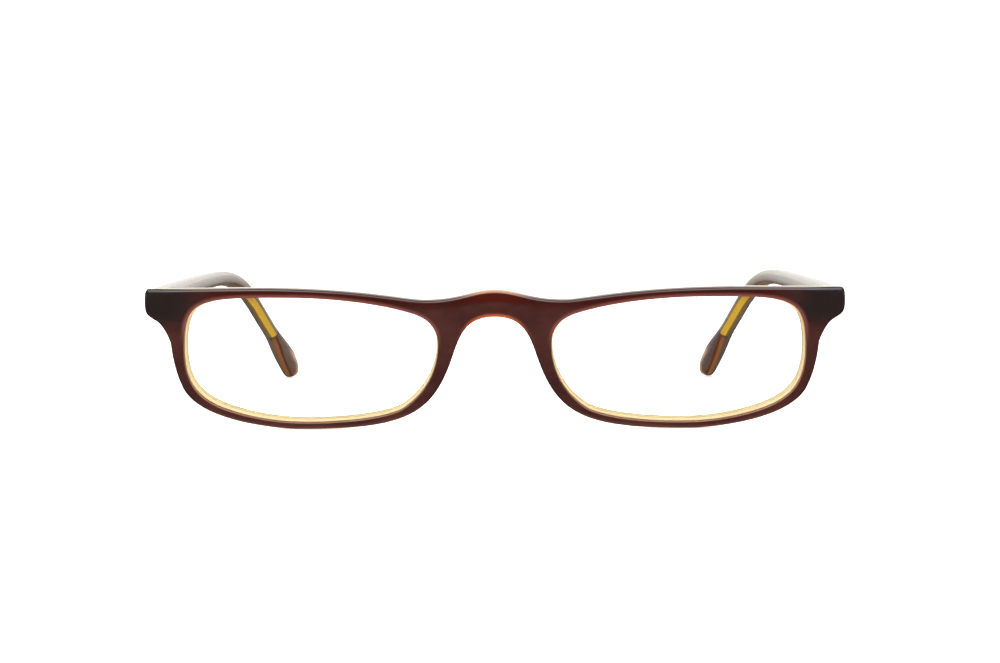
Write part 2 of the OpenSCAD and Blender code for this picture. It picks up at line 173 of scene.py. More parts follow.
LENS_KNOTS = [
    (LENS_A, 1.8, 90, 5.3, 10.2),
    (3.9, LENS_B, 180, 18.3, 7.9),
    (-(LENS_A - 4.9), LENS_B - 3.1, 198, 6.8, 2),
    (-LENS_A, 3.3, 270, 4, 5.6),
    (-(LENS_A - 6.6), -(LENS_B - 3.2), 324, 4.8, 3.6),
    (1.7, -LENS_B, 0, 8.2, 7.3),
    (LENS_A - 6.8, -(LENS_B - 3), 23.5, 3.3, 5.9),
]
FRONT_KNOTS = [
    (0, ARCH_TOP, 0, 0, 6.7),
    (NOSE_X - RIM_NOSE + 0.2, -1.5, 292, 5.3, 10.3),
    (LENS_X + RIM_LOW, -LENS_B - RIM_BOTTOM, 0, 20.6, 1.4),
    (RIM_X - 1.95 + RIM_SIDE, -5.1, 71, 8.3, 0.3),
    (RIM_X + RIM_SIDE, 3, 84, 5.6, 0.6),
    (HALF_W - 2.4, END_V - END_H - 0.75, 27, 1.5, 2.5),
    (HALF_W, END_V - 2.35, 90, 2.6, 2.6),
    (HALF_W - 1.1, END_V, 179, 0.3, 7.5),
    (LENS_X + 8.8, LENS_B + RIM_TOP, 180, 4.5, 19),
    (NOSE_X + 2.8, CREST_V - 1.9, 180, 4, 7),
    (0, CREST_V, 180, 4.7, 0),
]
lens_line = evened(np.vstack([span(p, q) for p, q in
                              zip(LENS_KNOTS, LENS_KNOTS[1:] + LENS_KNOTS[:1])]))
half_line = np.vstack([span(p, q) for p, q in zip(FRONT_KNOTS, FRONT_KNOTS[1:])])
front_line = evened(np.vstack([half_line, [[0, CREST_V]], half_line[:0:-1] * [-1, 1]]))
front_normals = outward(front_line, soften=8)
lens_normals = outward(lens_line)


def placed_on_front(uv, depth):
    """Points of the front at (u, v) and the given depth under its unrolled face."""
    w = bow(uv[:, 0], depth)
    return np.stack([uv[:, 0], SHIFT_Y + w * COS_T - uv[:, 1] * SIN_T,
                     FRONT_Z + w * SIN_T + uv[:, 1] * COS_T], 1)


def inside(points, loop):
    """Which points lie in a closed outline."""
    x, y = points[:, :1], points[:, 1:]
    a, b = loop, np.roll(loop, -1, 0)
    crosses = (a[:, 1] > y) != (b[:, 1] > y)
    rise = np.where(b[:, 1] == a[:, 1], TINY, b[:, 1] - a[:, 1])
    at = a[:, 0] + (y - a[:, 1]) * (b[:, 0] - a[:, 0]) / rise
    return (crosses & (x < at)).sum(1) % 2 == 1


def nearest(points, line):
    """Distance from each point to the closest point of a line."""
    return np.min(np.linalg.norm(points[:, None] - line[None], axis=2), 1)


# ---- meshes ----
def creased(mesh, angle):
    """Shades a mesh smooth, but for edges sharper than an angle."""
    mesh.shade_smooth()
    mesh.set_sharp_from_angle(angle=math.radians(angle))


def mesh_piece(name, points, faces, attributes=None, sharp=40):
    """A closed mesh in metres from points in mm, smooth but for its sharp edges."""
    mesh = bpy.data.meshes.new(name)
    mesh.from_pydata((np.asarray(points) * MM).tolist(), [], faces)
    for key, values in (attributes or {}).items():
        mesh.attributes.new(key, "FLOAT", "POINT").data.foreach_set(
            "value", np.asarray(values, np.float32))
    creased(mesh, sharp)
    piece = bpy.data.objects.new(name, mesh)
    bpy.context.scene.collection.objects.link(piece)
    return piece


def bands(first, count, rows, closed=False):
    """Quads that join rows of a ring, each of count points, the first point being first.
    Closed joins the last row to the first as well."""
    j = np.arange(count)
    k = (j + 1) % count
    made = []
    for i in range(rows if closed else rows - 1):
        a, b = first + i * count, first + (i + 1) % rows * count
        made += np.stack([a + j, a + k, b + k, b + j], 1).tolist()
    return made


def fan(first, count, tip):
    """Triangles from a ring of count points to a single point."""
    j = np.arange(count)
    return np.stack([first + (j + 1) % count, first + j, np.full(count, tip)], 1).tolist()


def turned(faces):
    """The same faces, seen from their other side."""
    return [face[::-1] for face in faces]


def quarter(r):
    """(inset, drop) of a rounded edge from the face round to the wall."""
    a = np.linspace(0, math.pi / 2, EDGE_N + 1)
    return list(zip(r * (1 - np.sin(a)), 1 - np.cos(a)))


# ---- front ----
def roll(u):
    """How far the endpiece's face rolls back at distance u from the middle."""
    k = np.clip((np.abs(u) - (HALF_W - ROLL_L)) / ROLL_L, 0, 1)
    return ROLL_D * (1 - np.sqrt(1 - k * k))


def level(t):
    """A row of a wall at one depth."""
    return lambda u: np.full(len(u), t)


def edge_drop(f):
    """A row of the tumbled front edge: it rolls back with the endpiece and thins with it."""
    return lambda u: roll(u) + f * np.minimum(EDGE_R, EDGE_MOST * (OUTER_T - roll(u)))


def on_layer(points, loops):
    """Which points lie inside the front's outline and outside both lens openings."""
    edge, left, right = loops
    return inside(points, edge) & ~inside(points, left) & ~inside(points, right)


def face_between(loops):
    """Fills the face inside the outline and round the openings: a grid of inner points, and
    triangles that number the loops' points first and the grid's after them."""
    grid = np.stack(np.meshgrid(np.arange(-HALF_W, HALF_W, GRID),
                                np.arange(-LENS_B, CREST_V + 1, GRID)), -1).reshape(-1, 2)
    clear = np.min([nearest(grid, loop) for loop in loops], 0) > GRID_CLEAR
    grid = grid[clear & on_layer(grid, loops)]
    points = np.vstack(loops + [grid])
    borders, base = [], 0
    for loop in loops:
        n = np.arange(len(loop))
        borders += np.stack([base + n, base + (n + 1) % len(loop)], 1).tolist()
        base += len(loop)
    _, _, triangles, origin, _, _ = delaunay_2d_cdt(
        [Vector(p) for p in points], borders, [], 0, 1e-7)
    triangles = np.array([o[0] for o in origin])[np.array(triangles)]
    return grid, triangles[on_layer(points[triangles].mean(1), loops)]


def front_layer(name, edge, hole):
    """One layer of the front. edge and hole are rows of (offset, depth function) from its
    face to its back: edge is measured in from the outline, hole out from the lens line.
    An offset is one number, or one for each point of the line."""
    openings = [(lens_line * [side, 1] + [side * LENS_X, 0], lens_normals * [side, 1])
                for side in (1, -1)]
    rings = [[front_line - np.reshape(inset, (-1, 1)) * front_normals for inset, _ in edge]]
    rings += [[line + np.reshape(out, (-1, 1)) * normals for out, _ in hole]
              for line, normals in openings]
    flat, deep, starts = [], [], []
    for ring, rows in zip(rings, (edge, hole, hole)):
        starts.append(sum(map(len, flat)))
        for uv, (_, depth_at) in zip(ring, rows):
            flat.append(uv)
            deep.append(depth_at(uv[:, 0]))
    n = len(lens_line)
    faces = turned(bands(starts[0], len(front_line), len(edge)))
    faces += bands(starts[1], n, len(hole)) + turned(bands(starts[2], n, len(hole)))
    total = sum(map(len, flat))
    for row in (0, -1):
        grid, triangles = face_between([ring[row] for ring in rings])
        numbers = [start + row % len(ring) * len(ring[0]) + np.arange(len(ring[0]))
                   for start, ring in zip(starts, rings)]
        triangles = np.concatenate(numbers + [total + np.arange(len(grid))])[triangles]
        faces += (triangles if row == 0 else triangles[:, ::-1]).tolist()
        flat.append(grid)
        deep.append(edge[row][1](grid[:, 0]))
        total += len(grid)
    uv, depth = np.vstack(flat), np.concatenate(deep)
    near_lens = np.min([nearest(uv, line + dark_opening[:, None] * normals)
                        for line, normals in openings], 0)
    lip = np.zeros(len(uv))
    for start in starts[1:]:
        lip[start + LIP_ROWS[0] * n:start + LIP_ROWS[1] * n] = 1
    return mesh_piece(name, placed_on_front(uv, depth), faces, {
        "u": uv[:, 0], "v": uv[:, 1], "lip": lip,
        "near_lens": near_lens, "near_edge": nearest(uv, front_line)})


groove = BEVEL_T / 2 + FIT
end_r = EDGE_R + END_EXTRA_R * np.clip(
    (np.abs(front_line[:, 0]) - END_ROUND_AT) / END_ROUND_L, 0, 1) ** 2 \
    * np.clip(front_normals[:, 1], 0, 1)
below, outside = np.clip(-lens_normals[:, 1], 0, 1), np.clip(lens_normals[:, 0], 0, 1)
dark_opening = -OUTER_LAP + OPEN_SIDE * outside
shelf_in = INNER_LAP + SHELF_IN + SHELF_BELOW * below + SHELF_SIDE * outside
shelf_depth = OUTER_T + LENS_T / 2 + SHELF_GAP
outer_front = front_layer(
    "front_outer",
    [(inset / EDGE_R * end_r, edge_drop(f)) for inset, f in quarter(EDGE_R)]
    + [(0, level(OUTER_T))],
    [(dark_opening + inset, level(HOLE_R * f)) for inset, f in quarter(HOLE_R)]
    + [(dark_opening, level(OUTER_T - groove)), (FIT, level(OUTER_T))])
inner_front = front_layer(
    "front_inner",
    [(0, level(OUTER_T))]
    + [(inset, level(FRONT_T - EDGE_R * f)) for inset, f in quarter(EDGE_R)[::-1]],
    [(FIT, level(OUTER_T)), (-INNER_LAP, level(OUTER_T + groove)),
     (-INNER_LAP, level(shelf_depth)), (-shelf_in, level(shelf_depth))]
    + [(-shelf_in + inset, level(FRONT_T - BACK_HOLE_R * f))
       for inset, f in quarter(BACK_HOLE_R)[::-1]])


# ---- lenses ----
def lens_piece(name, side):
    """A lens in rings of points, from the middle of its front round its edge to its back. The
    edge's faces take the second material."""
    fore, aft = dark_opening - FIT, -INNER_LAP - FIT
    front, mid, back = OUTER_T - LENS_T / 2, OUTER_T, OUTER_T + LENS_T / 2
    profile = [(fore - LENS_EASE, front), (fore, front + LENS_EASE), (fore, mid - BEVEL_T / 3),
               (0, mid), (aft, mid + BEVEL_T / 2), (aft, back - LENS_EASE),
               (aft - LENS_EASE, back)]
    rim = lens_line + np.reshape(profile[0][0], (-1, 1)) * lens_normals
    back_rim = lens_line + profile[-1][0] * lens_normals
    shrink = np.linspace(0, 1, LENS_ROWS + 1)[1:]
    n = len(rim)
    uv, depth = [], []
    for k in shrink:
        uv.append(rim * k)
        depth.append(np.full(n, front - LENS_DOME * (1 - k * k)))
    for out, t in profile[1:-1]:
        uv.append(lens_line + np.reshape(out, (-1, 1)) * lens_normals)
        depth.append(np.full(n, t))
    for k in shrink[::-1]:
        uv.append(back_rim * k)
        depth.append(np.full(n, back - LENS_DOME * (1 - k * k)))
    ends = len(uv) * n
    faces = bands(0, n, len(uv)) + fan(0, n, ends) + turned(fan(ends - n, n, ends + 1))
    uv = np.vstack(uv + [[[0, 0]], [[0, 0]]])
    depth = np.concatenate(depth + [[front - LENS_DOME], [back - LENS_DOME]])
    if side > 0:
        faces = turned(faces)
    piece = mesh_piece(name, placed_on_front(uv * [side, 1] + [side * LENS_X, 0], depth), faces,
                       sharp=12)
    ground = np.zeros(len(faces), np.int32)
    ground[(LENS_ROWS - 1) * n:(LENS_ROWS + len(profile) - 2) * n] = 1
    piece.data.polygons.foreach_set("material_index", ground)
    return piece


lenses = {side: lens_piece(f"lens_clear_{side}", sign) for side, sign in SIDES.items()}


# ---- temples: sections carried along a line that bends down and inwards ----
def unit(v):
    """A direction of length 1."""
    v = np.asarray(v, float)
    return v / np.linalg.norm(v)


def ease(t):
    """0 to 1 with level ends."""
    k = min(max(t, 0.0), 1.0)
    return k * k * (3 - 2 * k)


def mix(a, b, t):
    return a + (b - a) * t


TEMPLE_OUT = HALF_W - TEMPLE_INSET
INNER_FACE = TEMPLE_OUT - TEMPLE_T
HINGE_V = END_V - END_H / 2
BUTT_W = float(bow(INNER_FACE, FRONT_T))
TEMPLE_Z = FRONT_Z + HINGE_V * COS_T + BUTT_W * SIN_T
START = np.array([TEMPLE_OUT - TEMPLE_T / 2, BUTT_W * COS_T - HINGE_V * SIN_T, TEMPLE_Z])
TOE = (START[0] - BEND_X) / (BEND_START - START[1])
TIP_R = PADDLE_H / 2
SHAFT_END = np.array([BEND_X, BEND_START, TEMPLE_Z + SHAFT_RISE])
DROP_END = np.array([TIP_X, TEMPLE_REACH, TIP_R + TIP_SAG])
DROP_DIR = unit([-DROP_IN, 1, -math.tan(math.radians(DROP_SLOPE))])
DROP_START = DROP_END - DROP_L * DROP_DIR
HINGE_DIR, SHAFT_DIR = unit([-TOE, 1, SLOPE_AT_HINGE]), unit([-TOE, 1, SLOPE_AT_BEND])
SHAFT_L = float(np.linalg.norm(SHAFT_END - START))
BEND_L = float(np.linalg.norm(DROP_START - SHAFT_END)) * BEND_ARC
TEMPLE_L = SHAFT_L + BEND_L + DROP_L + TIP_R
NOSE_L = DROP_L + TIP_SHARE * TIP_R
WIRE_END = 2 + (DROP_L + TIP_R - WIRE_STOP) / NOSE_L
WIDEN_AT = SHAFT_L + BEND_L + WIDEN_AFTER


def handle_curve(a, da, la, b, db, lb, t):
    """Point and direction on the curve from a to b, with handles la and lb long."""
    p = [a, a + la * da, b - lb * db, b]
    r = 1 - t
    at = r**3 * p[0] + 3 * r**2 * t * p[1] + 3 * r * t * t * p[2] + t**3 * p[3]
    go = r**2 * (p[1] - p[0]) + 2 * r * t * (p[2] - p[1]) + t * t * (p[3] - p[2])
    return at, unit(go)


def station(t):
    """Point, direction and distance along the temple: t 0 to 1 shaft, to 2 bend, to 3 drop."""
    if t < 1:
        ends = START, HINGE_DIR, SHAFT_L / 3, SHAFT_END, SHAFT_DIR, SHAFT_L / 3
        return (*handle_curve(*ends, t), SHAFT_L * t)
    if t < 2:
        ends = SHAFT_END, SHAFT_DIR, BEND_IN, DROP_START, DROP_DIR, BEND_OUT
        return (*handle_curve(*ends, t - 1), SHAFT_L + BEND_L * (t - 1))
    down = NOSE_L * (t - 2)
    return DROP_START + down * DROP_DIR, DROP_DIR, SHAFT_L + BEND_L + down


def nose(s):
    """Share of the height left where the paddle's end rounds off."""
    k = min(max(0.0, (s - (TEMPLE_L - TIP_R)) / TIP_R / TIP_SHARE), TIP_BLUNT)
    return math.sqrt(1 - k * k)


def height_at(s):
    """Height of the temple: a shaft that narrows to its waist, then widens to the paddle."""
    if s < SHAFT_L:
        return nose(s) * mix(TEMPLE_H, WAIST_H, ease(s / SHAFT_L))
    return nose(s) * mix(WAIST_H, PADDLE_H,
                         ease((s - WIDEN_AT) / (TEMPLE_L - PADDLE_FULL - WIDEN_AT)))


def thick_at(s):
    """Thickness of the temple, rounded off at the very end."""
    k = max(0.0, (s - (TEMPLE_L - TIP_ROUND)) / TIP_ROUND)
    rounded = math.sqrt(max(0.0, 1 - k * k))
    return mix(TEMPLE_T, TEMPLE_T_END, ease(s / SHAFT_L)) * mix(TIP_THIN, 1, rounded)


def joint_line(t):
    """Where the two layers meet, inwards from the middle of a section of thickness t."""
    return -t / 2 + TEMPLE_OUTER_T * t / TEMPLE_T


def corner(x, y, r, a, n=6):
    """A quarter turn of radius r about (x, y), from angle a."""
    b = np.radians(a + 90 * np.arange(n + 1) / n)
    return np.stack([x + r * np.cos(b), y + r * np.sin(b)], 1)


def edge_share(s):
    """Share of the temple's thickness that its rounded edges take, fullest at the tip."""
    return mix(EDGE_SHARE, TIP_EDGE_SHARE, ease((s - (TEMPLE_L - TIP_EASE_AT)) / TIP_EASE_L))


def half_section(h, t, channel, layer, share):
    """Half of the temple's section, [inwards, up]: the outer or the inner layer."""
    r, m = min(TEMPLE_EDGE_R * share / EDGE_SHARE, h * CORNER_MOST, t * share), joint_line(t)
    g = min(WIRE_W / 2 + WIRE_FIT, h * CHANNEL_MOST)
    if layer == "outer":
        return np.vstack([[[m, h / 2]], corner(-t / 2 + r, h / 2 - r, r, 90),
                          corner(-t / 2 + r, -h / 2 + r, r, 180),
                          [[m, -h / 2], [m, -g], [m - channel, -g], [m - channel, g], [m, g]]])
    return np.vstack([[[m, -h / 2]], corner(t / 2 - r, -h / 2 + r, r, 270),
                      corner(t / 2 - r, h / 2 - r, r, 0),
                      [[m, h / 2], [m, g], [m + channel, g], [m + channel, -g], [m, -g]]])


def wire_section(t):
    """The flat wire's section, centred on the seam of a section of thickness t."""
    m, r = joint_line(t), WIRE_EDGE_R
    x, y = WIRE_T / 2 - r, WIRE_W / 2 - r
    return np.vstack([corner(m + x, y, r, 0, 3), corner(m - x, y, r, 90, 3),
                      corner(m - x, -y, r, 180, 3), corner(m + x, -y, r, 270, 3)])


def carried(section, t):
    """A section set across the temple's line at a station."""
    at, go, _ = station(t)
    up = unit([0, -go[2], go[1]])
    inwards = np.cross(up, go)
    return at + section[:, :1] * inwards + section[:, 1:] * up


def mitred(ring):
    """The temple's first section, laid parallel to the back of the front."""
    y = (bow(ring[:, 0], FRONT_T) + BUTT_GAP - (ring[:, 2] - FRONT_Z) * SIN_T) / COS_T
    return np.stack([ring[:, 0], y, ring[:, 2]], 1)


def swept(name, rings, side, attributes):
    """A closed piece through a row of sections. Its faces are turned outwards further down,
    once the pockets are cut."""
    n = len(rings[0])
    points = np.vstack(rings) + [0, SHIFT_Y, 0]
    faces = bands(0, n, len(rings))
    faces += [list(range(n))[::-1], list(range((len(rings) - 1) * n, len(rings) * n))]
    if side > 0:
        faces = turned(faces)
    return mesh_piece(name, points * [side, 1, 1], faces, attributes, sharp=35)


WIRE_TS = ([i / SHAFT_N for i in range(SHAFT_N)] + [1 + i / BEND_N for i in range(BEND_N)]
           + [2 + (WIRE_END - 2) * i / DROP_N for i in range(DROP_N + 1)])
TIP_TS = [WIRE_END + STATION_GAP
          + (3 - STATION_GAP - WIRE_END) * math.sin(math.pi / 2 * i / TIP_N)
          for i in range(TIP_N + 1)]
channel_depth = WIRE_T / 2 + WIRE_FIT


def temple_layer(name, layer, side):
    """One layer of a temple, with half of the wire's channel along its seam."""
    rings, across, along_it, up = [], [], [], []
    for t, deep in [(t, channel_depth) for t in WIRE_TS] + [(t, SCAR) for t in TIP_TS]:
        s = station(t)[2]
        section = half_section(height_at(s), thick_at(s), deep, layer, edge_share(s))
        rings.append(carried(section, t))
        across.append(section[:, 0] / thick_at(s) + 0.5)
        up.append(2 * section[:, 1] / max(height_at(s), 0.1))
        along_it.append(np.full(len(section), s))
    rings[0] = mitred(rings[0])
    return swept(name, rings, side, {"across": np.concatenate(across), "up": np.concatenate(up),
                                     "along": np.concatenate(along_it)})


def wire_piece(name, side):
    """The core wire, from just behind the hinge to where it stops in the paddle."""
    ts = WIRE_TS[WIRE_FIRST:]
    rings = [carried(wire_section(thick_at(station(t)[2])), t) for t in ts]
    s = np.concatenate([np.full(len(rings[0]), station(t)[2]) for t in ts])
    return swept(name, rings, side, {"along": s})


temples = {}
for side, sign in SIDES.items():
    temples[side] = (temple_layer(f"temple_outer_{side}", "outer", sign),
                     temple_layer(f"temple_inner_{side}", "inner", sign),
                     wire_piece(f"core_wire_bar_{side}", sign))


# ---- finishes ----
class Wiring:
    """Short calls for the nodes of a finish or of the studio."""

    def __init__(self, tree):
        self.tree = tree

    def node(self, kind, **settings):
        made = self.tree.nodes.new(kind)
        for key, value in settings.items():
            setattr(made, key, value)
        return made

    def join(self, a, b):
        self.tree.links.new(a, b)

    def ranged(self, value, a, b, c=0.0, d=1.0):
        """Goes smoothly from c to d as a value goes from a to b."""
        made = self.node("ShaderNodeMapRange", interpolation_type="SMOOTHSTEP")
        self.join(value, made.inputs["Value"])
        for key, number in zip(("From Min", "From Max", "To Min", "To Max"), (a, b, c, d)):
            made.inputs[key].default_value = number
        return made.outputs["Result"]

    def maths(self, operation, a, b):
        made = self.node("ShaderNodeMath", operation=operation)
        for value, socket in zip((a, b), made.inputs):
            if isinstance(value, (int, float)):
                socket.default_value = value
            else:
                self.join(value, socket)
        return made.outputs[0]

    def either(self, share, first, second, output):
        """Shows the first shader, and the second one as far as share says."""
        made = self.node("ShaderNodeMixShader")
        for source, socket in zip((share, first.outputs[0], second.outputs[0]), made.inputs):
            self.join(source, socket)
        self.join(made.outputs[0], output.inputs["Surface"])

    def bounces(self):
        """How a ray got here: its own node, and 1 or 0 for scattered by a matt surface, not
        scattered, and only mirrored."""
        ray = self.node("ShaderNodeLightPath")
        scattered = self.maths("MINIMUM", ray.outputs["Diffuse Depth"], 1.0)
        unscattered = self.maths("SUBTRACT", 1.0, scattered)
        glossy = self.maths("MINIMUM", ray.outputs["Glossy Depth"], 1.0)
        return ray, scattered, unscattered, self.maths("MULTIPLY", glossy, unscattered)


class Finish(Wiring):
    """A material under construction."""

    def __init__(self, name):
        self.material = bpy.data.materials.new(name)
        self.material.use_nodes = True
        super().__init__(self.material.node_tree)
        self.shader = self.tree.nodes["Principled BSDF"]
        self.output = self.tree.nodes["Material Output"]

    def plain(self, **values):
        for key, value in values.items():
            self.shader.inputs[key.replace("_", " ")].default_value = value

    def attribute(self, name):
        return self.node("ShaderNodeAttribute", attribute_name=name).outputs["Fac"]

    def noise(self, scale, detail=3.0, rough=0.5, stretch=(1, 1, 1)):
        mapping, grain = self.node("ShaderNodeMapping"), self.node("ShaderNodeTexNoise")
        self.join(self.node("ShaderNodeTexCoord").outputs["Object"], mapping.inputs["Vector"])
        self.join(mapping.outputs["Vector"], grain.inputs["Vector"])
        mapping.inputs["Scale"].default_value = stretch
        for key, number in (("Scale", scale), ("Detail", detail), ("Roughness", rough)):
            grain.inputs[key].default_value = number
        return grain.outputs["Fac"]

    def blended(self, share, a, b):
        made = self.node("ShaderNodeMix", data_type="RGBA")
        self.join(share, made.inputs["Factor"])
        for value, key in ((a, "A"), (b, "B")):
            socket = next(s for s in made.inputs if s.name == key and s.type == "RGBA")
            if isinstance(value, tuple):
                socket.default_value = (*value, 1)
            else:
                self.join(value, socket)
        return next(s for s in made.outputs if s.type == "RGBA")

    def laid(self, body, shares, colour):
        """The body's colour with another laid over it where all the shares are high."""
        share = shares[0]
        for other in shares[1:]:
            share = self.maths("MULTIPLY", share, other)
        return self.blended(share, body, colour)

    def coloured(self, colour):
        self.join(colour, self.shader.inputs["Base Color"])

    def rough(self, amount):
        self.join(amount, self.shader.inputs["Roughness"])

    def bump(self, height, distance):
        made = self.node("ShaderNodeBump")
        made.inputs["Distance"].default_value = distance
        self.join(height, made.inputs["Height"])
        self.join(made.outputs["Normal"], self.shader.inputs["Normal"])


def polished(finish, low=0.05, high=0.13, ripple=0.00002):
    """Hand-polished plastic: fine wear in the gloss, and the faintest ripple."""
    finish.rough(finish.ranged(finish.noise(900, 4, 0.6), 0.35, 0.7, low, high))
    finish.bump(finish.noise(160, 2), ripple)


ACETATE_IOR, LENS_IOR = 1.49, 1.5
WHITE = (1, 1, 1, 1)


def dark_acetate():
    """Dark red-brown sheet with painted light: painted near black in the thick endpieces, where
    little light comes through, painted glowing where light comes through at thin edges, and painted
    shade and highlights along the rims and the bridge.
    """
    f = Finish("dark_brown_acetate")
    across = f.maths("ABSOLUTE", f.attribute("u"), 0.0)
    v, near_lens, near_edge = (f.attribute(n) for n in ("v", "near_lens", "near_edge"))
    cloud = f.noise(110, 3, 0.55, (1, 1, 1.6))
    middle = f.ranged(across, 8, 2)
    body = f.blended(f.ranged(cloud, 0.3, 0.7), (0.031, 0.0090, 0.0075), (0.050, 0.0150, 0.0120))
    for shares, colour in (
            # painted shade: the thick endpieces painted near black, then a darker, redder band
            # painted under the rims' upper edge
            ([f.ranged(across, 54, 63), f.ranged(v, 5.0, 9.0)], (0.0125, 0.0080, 0.0072)),
            ([f.ranged(near_edge, 2.4, 1.2), f.ranged(v, 9, 12), f.ranged(across, 62, 50)],
             (0.030, 0.0040, 0.0020)),
            # painted light: a glow along the lower edge, a red glow along the openings' upper
            # edges, and a bright line along their lower edges where the bevel catches the light
            ([f.ranged(near_edge, 0.9, 0.0), f.ranged(v, -8, -12)], (0.100, 0.036, 0.024)),
            ([f.ranged(near_lens, 1.0, 0.0), f.ranged(v, 2, 7)], (0.170, 0.050, 0.040)),
            ([f.ranged(near_lens, 0.16, 0.03), f.ranged(v, 7, 2)], (0.20, 0.075, 0.036)),
            # the bridge: a painted red shade below its crest, a painted highlight and glow on its
            # crest, and a painted glow along the edge of its arch
            ([f.ranged(near_edge, 2.6, 1.4), middle, f.ranged(v, 11.1, 11.6)],
             (0.048, 0.0045, 0.0016)),
            ([f.ranged(near_edge, 0.30, 0.0), middle, f.ranged(v, 11.3, 11.8)],
             (0.42, 0.17, 0.07)),
            ([f.ranged(near_edge, 1.0, 0.15), middle, f.ranged(v, 11.8, 11.3)],
             (0.36, 0.085, 0.033))):
        body = f.laid(body, shares, colour)
    f.coloured(body)
    f.plain(IOR=ACETATE_IOR)
    polished(f)
    return f.material


def honey_acetate():
    """Pale honey sheet, olive on the shelf behind the lenses, where less light comes through."""
    f = Finish("honey_acetate")
    cloud = f.noise(70, 2, 0.5)
    body = f.blended(f.ranged(cloud, 0.3, 0.7), (0.92, 0.75, 0.40), (0.95, 0.81, 0.48))
    f.coloured(f.blended(f.ranged(f.attribute("lip"), 0.8, 1.0), body, (0.34, 0.27, 0.07)))
    f.plain(IOR=ACETATE_IOR, Transmission_Weight=0.3)
    polished(f)
    return f.material


def temple_acetate(name, body_a, body_b):
    """Smoky sheet with the core wire showing through its lower edge as a golden strip, and painted
    light: a pale sheen on the inner face and upper edge, painted shade beside and at the end of the
    wire, and glows at the seam and on the paddle's upper edge and end.
    """
    f = Finish(name)
    across, up, along_it = f.attribute("across"), f.attribute("up"), f.attribute("along")
    cloud = f.noise(60, 1, 0.5, (1, 0.4, 1))
    body = f.blended(f.ranged(cloud, 0.3, 0.7), body_a, body_b)
    wire_end = TEMPLE_L - WIRE_STOP
    on_edge = f.ranged(up, -0.35, -0.6)
    before_end = f.ranged(along_it, wire_end + 0.25, wire_end - 0.1)
    past_end = f.ranged(along_it, wire_end - 0.1, wire_end + 0.9)
    on_drop = f.ranged(along_it, SHAFT_L + 0.7 * BEND_L, SHAFT_L + 0.95 * BEND_L)
    # Past the wire the seam between the two layers drifts towards the outer face.
    drift = f.maths("ADD", across, f.maths("MULTIPLY", 0.02, f.maths(
        "MAXIMUM", 0.0, f.maths("SUBTRACT", along_it, wire_end))))
    for shares, colour in (
            # painted reflection: a pale sheen on the thin inner face, and on the upper edge from
            # the hinge to the bend
            ([f.ranged(across, 0.85, 0.99), f.ranged(up, -0.5, 0.9), before_end],
             (0.30, 0.27, 0.20)),
            ([f.ranged(along_it, SHAFT_L + 0.8 * BEND_L, SHAFT_L), f.ranged(up, 0.3, 0.7)],
             (0.32, 0.28, 0.23)),
            # the wire's shaded side, the wire itself and the shadow at its end
            ([f.ranged(across, 0.36, 0.50), on_edge, before_end, on_drop],
             (0.13, 0.065, 0.009)),
            ([f.ranged(across, 0.55, 0.62), on_edge, before_end, on_drop],
             (0.385, 0.230, 0.020)),
            ([f.ranged(along_it, wire_end - 0.3, wire_end),
              f.ranged(along_it, wire_end + 1.1, wire_end + 0.4), f.ranged(across, 0.3, 0.4),
              on_edge], (0.045, 0.032, 0.012)),
            # the seam past the wire: an orange line of painted glow, where light comes through,
            # with a dark one beside it
            ([f.ranged(drift, 0.50, 0.62), f.ranged(drift, 0.88, 0.78), on_edge, past_end],
             (0.17, 0.055, 0.013)),
            ([f.ranged(drift, 0.80, 0.88), f.ranged(drift, 1.04, 0.96), on_edge, past_end],
             (0.050, 0.018, 0.008)),
            # painted glow: the paddle's upper edge and its end, where light comes through
            ([f.ranged(along_it, TEMPLE_L - 7.5, TEMPLE_L - 4), f.ranged(up, 0.05, 0.55),
              f.ranged(across, 0.3, 0.7)], (0.42, 0.21, 0.09)),
            ([f.ranged(along_it, TEMPLE_L - 2.6, TEMPLE_L - 0.9), f.ranged(across, 0.4, 0.9)],
             (0.36, 0.165, 0.070))):
        body = f.laid(body, shares, colour)
    f.coloured(body)
    f.plain(IOR=ACETATE_IOR, Specular_IOR_Level=0.3)
    polished(f, 0.10, 0.14, ripple=0.000004)
    return f.material


def metal(name, colours, grain, streak, gloss):
    """Metal with a fine grain in its colour, and a finer one that runs along the streak."""
    f = Finish(name)
    f.coloured(f.blended(f.noise(*grain), *colours))
    f.plain(Metallic=1.0)
    f.rough(f.ranged(f.noise(*streak), 0.3, 0.7, *gloss))
    return f


def gilt():
    """The gilt core wire, drawn lengthwise."""
    return metal("gilt_wire", ((0.83, 0.62, 0.26), (0.72, 0.5, 0.2)), (300, 2),
                 (1500, 2, 0.5, (1, 0.1, 0.1)), (0.25, 0.4)).material


def steel(name, a, b, low, high):
    """Turned and pressed hinge metal, with the faintest tool marks."""
    f = metal(name, (a, b), (900, 3), (2500, 3, 0.6, (1, 1, 0.15)), (low, high))
    f.bump(f.noise(3500, 2, 0.5, (1, 1, 0.1)), 0.00001)
    return f.material


def clear_lens():
    """Clear lens that casts no shadow."""
    f = Finish("clear_lens")
    f.plain(Transmission_Weight=1.0, IOR=LENS_IOR, Roughness=0.0,
            Base_Color=(0.985, 0.995, 0.99, 1))
    f.either(f.node("ShaderNodeLightPath").outputs["Is Shadow Ray"], f.shader,
             f.node("ShaderNodeBsdfTransparent"), f.output)
    return f.material


def ground_edge():
    """The lens's ground edge, matt, painted the honey colour of the light that the honey layer
    round it sends through it.
    """
    f = Finish("ground_lens_edge")
    f.coloured(f.blended(f.noise(400, 2), (0.93, 0.75, 0.44), (0.97, 0.82, 0.52)))
    f.plain(Roughness=0.7, Specular_IOR_Level=0.1)
    return f.material


